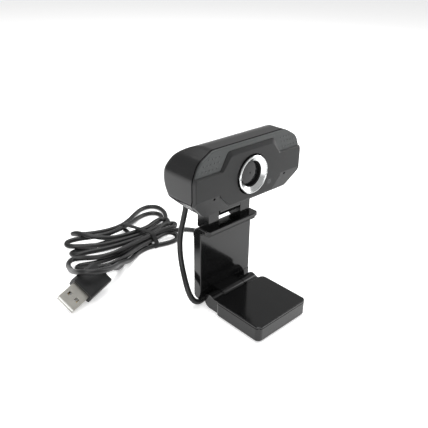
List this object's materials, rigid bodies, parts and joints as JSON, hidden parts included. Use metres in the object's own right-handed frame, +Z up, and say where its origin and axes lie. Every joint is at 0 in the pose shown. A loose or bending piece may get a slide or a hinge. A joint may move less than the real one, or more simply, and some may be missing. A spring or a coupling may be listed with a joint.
{
  "type": "webcam on folding clip stand",
  "caption": "Wide webcam head with a chrome focus ring, tilting on a two-leaf folding clip stand, with a bundled USB lead and plug.",
  "frame": {"origin": "middle of the underside of the rubber pad under the foot, on the table", "axes": "+Z up, -Y the way the lens looks, +X right seen from the front"},
  "size_m": [0.1245, 0.1726, 0.101],
  "materials": {
    "stand_plastic": "moulded, polished black",
    "housing_plastic": "moulded, polished black",
    "face_plastic": "fine spark texture, black",
    "trim_plastic": "satin dark grey with a dot pattern",
    "ring_chrome": "bright plated ring with a fine groove",
    "barrel_plastic": "matt black inside the ring",
    "lens_glass": "coated lens glass",
    "pad_rubber": "matt black rubber",
    "grommet_rubber": "soft black strain relief",
    "pin_steel": "turned steel",
    "screw_steel": "blackened steel",
    "washer_plastic": "natural acetal",
    "board": "solder-masked laminate",
    "chip": "moulded package",
    "light_window": "clear-grey acrylic",
    "microphone_can": "metal can",
    "cable_jacket": "satin black soft vinyl jacket",
    "tie_plastic": "flat black twist tie",
    "grip_plastic": "moulded black plug grip",
    "plug_steel": "nickel-plated shell",
    "tongue_plastic": "white insulating tongue",
    "contact_brass": "gold-flashed contacts"
  },
  "bodies": {
    "clip": {"upright_shell": "stand_plastic", "front_panel": "stand_plastic", "panel_screws": "screw_steel", "neck_bracket": "stand_plastic", "lip_pad": "pad_rubber", "fold_pin": "pin_steel", "fold_washers": "washer_plastic", "tilt_screw": "pin_steel", "tilt_nut": "pin_steel", "tilt_washers": "washer_plastic", "cable_drop": "cable_jacket", "cable_run": "cable_jacket", "cable_hank": "cable_jacket", "cable_lead": "cable_jacket", "cable_tie": "tie_plastic", "plug_grip": "grip_plastic", "plug_shell": "plug_steel", "plug_tongue": "tongue_plastic", "plug_contacts": "contact_brass"},
    "foot": {"foot_base": "stand_plastic", "foot_cover": "stand_plastic", "foot_pad": "pad_rubber", "foot_screws": "screw_steel"},
    "head": {"rear_housing": "housing_plastic", "face_panel": "face_plastic", "upper_trim": "trim_plastic", "lens_holder": "face_plastic", "main_board": "board", "board_screws": "screw_steel", "image_sensor": "chip", "infrared_filter": "lens_glass", "video_chip": "chip", "cable_socket": "washer_plastic", "status_led": "light_window", "light_pipe": "light_window", "microphones": "microphone_can", "tilt_arm": "stand_plastic", "arm_screws": "screw_steel", "cable_grommet": "grommet_rubber"},
    "focus_ring": {"focus_ring": "ring_chrome", "lens_barrel": "barrel_plastic", "front_lens": "lens_glass", "rear_lens": "lens_glass"}
  },
  "joints": [
    {"name": "foot_fold", "type": "hinge", "parent": "clip", "child": "foot", "pos_m": [0, 0.02275, 0.0054], "axis": [1, 0, 0], "range_deg": [-90, 90]},
    {"name": "head_tilt", "type": "hinge", "parent": "clip", "child": "head", "pos_m": [0, 0.03095, 0.0588], "axis": [1, 0, 0], "range_deg": [-30, 45], "deforming": ["cable_drop"]},
    {"name": "focus_turn", "type": "hinge", "parent": "head", "child": "focus_ring", "pos_m": [0, 0.012, 0.0828], "axis": [0, 1, 0], "range_deg": [-90, 90]}
  ]
}
